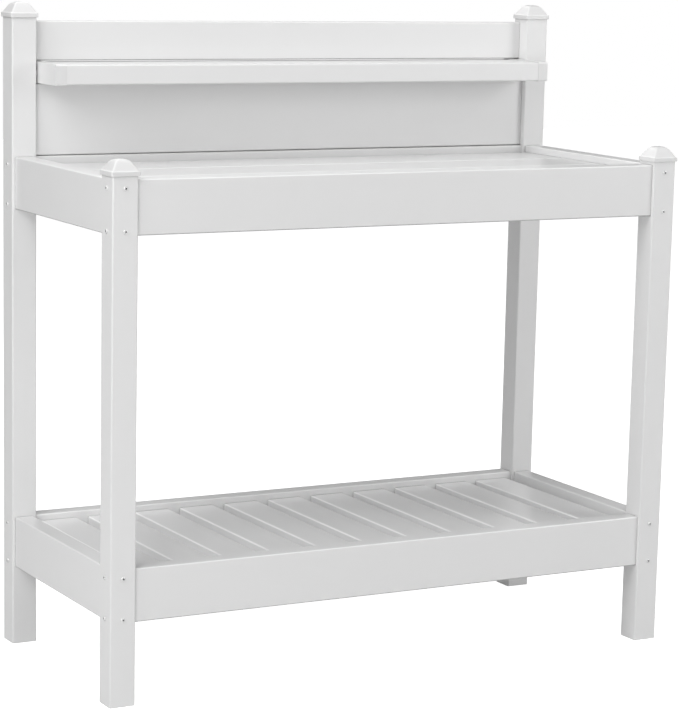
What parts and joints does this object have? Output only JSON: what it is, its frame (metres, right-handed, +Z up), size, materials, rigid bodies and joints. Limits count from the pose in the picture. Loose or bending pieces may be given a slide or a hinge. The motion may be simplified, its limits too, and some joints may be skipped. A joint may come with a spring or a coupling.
{
  "type": "potting bench",
  "caption": "Free-standing white vinyl potting bench with a sunken worktop, a slatted lower shelf, a low back and a narrow upper shelf.",
  "frame": {"origin": "on the floor at the middle of the footprint", "axes": "+X to the user's right, +Y to the back (the user stands at -Y), +Z up"},
  "size_m": [1.225, 0.5466, 1.2728],
  "materials": {
    "white_vinyl": "satin extruded vinyl",
    "moulded_vinyl": "satin moulded vinyl",
    "screw": "bright steel pan head"
  },
  "bodies": {
    "root": {"front_left_post": "white_vinyl", "front_left_cap": "moulded_vinyl", "front_left_screws": "screw", "front_right_post": "white_vinyl", "front_right_cap": "moulded_vinyl", "front_right_screws": "screw", "rear_left_post": "white_vinyl", "rear_left_cap": "moulded_vinyl", "rear_left_screws": "screw", "rear_right_post": "white_vinyl", "rear_right_cap": "moulded_vinyl", "rear_right_screws": "screw", "worktop_front_rail": "white_vinyl", "worktop_back_rail": "white_vinyl", "worktop_left_rail": "white_vinyl", "worktop_right_rail": "white_vinyl", "lower_front_rail": "white_vinyl", "lower_back_rail": "white_vinyl", "lower_left_rail": "white_vinyl", "lower_right_rail": "white_vinyl", "worktop_board_front": "white_vinyl", "worktop_board_middle": "white_vinyl", "worktop_board_back": "white_vinyl", "worktop_bearer": "white_vinyl", "lower_slat_1": "white_vinyl", "lower_slat_2": "white_vinyl", "lower_slat_3": "white_vinyl", "lower_slat_4": "white_vinyl", "lower_slat_5": "white_vinyl", "lower_slat_6": "white_vinyl", "lower_slat_7": "white_vinyl", "lower_slat_8": "white_vinyl", "lower_slat_9": "white_vinyl", "lower_slat_10": "white_vinyl", "lower_slat_11": "white_vinyl", "upper_back_board": "white_vinyl", "lower_back_board": "white_vinyl", "back_board_plugs": "moulded_vinyl", "back_board_screws": "screw", "upper_shelf": "white_vinyl", "left_shelf_end_cap": "moulded_vinyl", "right_shelf_end_cap": "moulded_vinyl", "shelf_end_screws": "screw"}
  },
  "joints": []
}
